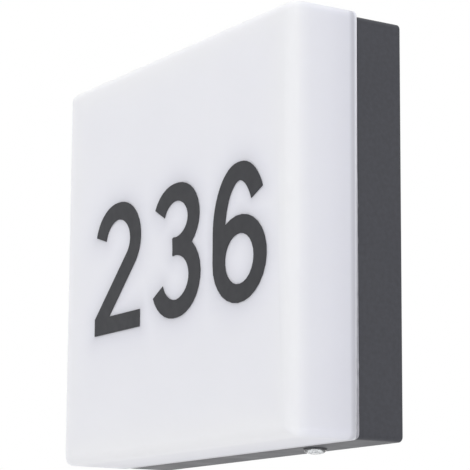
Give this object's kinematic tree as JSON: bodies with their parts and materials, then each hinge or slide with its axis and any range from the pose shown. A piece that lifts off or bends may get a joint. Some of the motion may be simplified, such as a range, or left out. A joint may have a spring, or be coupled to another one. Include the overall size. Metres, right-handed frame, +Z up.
{
  "type": "outdoor wall light",
  "caption": "Square outdoor wall light: deep opal cover with a house number, shallow dark back box with a daylight sensor underneath, LED tray, driver and lever terminal inside.",
  "frame": {"origin": "middle of the back face, on the wall", "axes": "+Z up, +Y into the wall, +X to the right for someone who faces the light"},
  "size_m": [0.245, 0.0733, 0.2338],
  "materials": {
    "casing": "fine matt powder coat",
    "foam": "closed-cell foam",
    "rubber": "matt",
    "seal": "translucent silicone",
    "spring_steel": "satin",
    "screws": "zinc plated",
    "tray_white": "white paint",
    "board_white": "white solder mask",
    "led_yellow": "phosphor",
    "link_red": "insulation",
    "driver_white": "moulded",
    "board_green": "green solder mask",
    "tape_yellow": "tape",
    "capacitor_black": "sleeve",
    "choke_copper": "enamelled wire",
    "terminal_grey": "moulded",
    "copper": "bare",
    "lever_green": "moulded",
    "lever_blue": "moulded",
    "lever_brown": "moulded",
    "tinned": "tinned",
    "brass_screw": "bare",
    "wire_brown": "insulation",
    "wire_blue": "insulation",
    "wire_green": "insulation",
    "wire_white": "insulation",
    "wire_grey": "insulation",
    "dome_clear": "clear plastic",
    "nut_black": "moulded",
    "photocell_red": "ceramic",
    "opal": "opal, satin",
    "film": "adhesive film"
  },
  "bodies": {
    "base": {"back_box": "casing", "wall_foam": "foam", "cable_grommet": "rubber", "tray_grommet": "rubber", "sensor_washer": "rubber", "cover_seal": "seal", "cover_clips": "spring_steel", "terminal_springs": "spring_steel", "clip_screws": "screws", "tray_screws": "screws", "board_screws": "screws", "driver_screws": "screws", "terminal_screws": "screws", "gear_tray": "tray_white", "led_board_1": "board_white", "led_board_2": "board_white", "led_board_3": "board_white", "led_board_4": "board_white", "led_chips": "led_yellow", "board_links": "link_red", "driver_case": "driver_white", "driver_lid": "driver_white", "driver_board": "board_green", "sensor_board": "board_green", "driver_transformer": "tape_yellow", "driver_capacitors": "capacitor_black", "driver_choke": "choke_copper", "terminal_block": "terminal_grey", "terminal_bars": "copper", "earth_tag": "tinned", "earth_screw": "brass_screw", "wire_live": "wire_brown", "wire_neutral": "wire_blue", "wire_earth": "wire_green", "lamp_wires": "wire_white", "sensor_wires": "wire_grey", "sensor_dome": "dome_clear", "sensor_nut": "nut_black", "photocell": "photocell_red"},
    "cover": {"diffuser": "opal", "figure_first": "film", "figure_second": "film", "figure_third": "film"},
    "lever_earth": {"lever_earth": "lever_green"},
    "lever_neutral": {"lever_neutral": "lever_blue"},
    "lever_live": {"lever_live": "lever_brown"}
  },
  "joints": [
    {"name": "cover_pull", "type": "slide", "parent": "base", "child": "cover", "axis": [0, -1, 0], "range_m": [0, 0.09]},
    {"name": "lever_earth_turn", "type": "hinge", "parent": "base", "child": "lever_earth", "pos_m": [0.0195, -0.0137, -0.0075], "axis": [0, 0, 1], "range_deg": [0, 90]},
    {"name": "lever_neutral_turn", "type": "hinge", "parent": "base", "child": "lever_neutral", "pos_m": [0.0195, -0.0137, 0], "axis": [0, 0, 1], "range_deg": [0, 90]},
    {"name": "lever_live_turn", "type": "hinge", "parent": "base", "child": "lever_live", "pos_m": [0.0195, -0.0137, 0.0075], "axis": [0, 0, 1], "range_deg": [0, 90]}
  ]
}
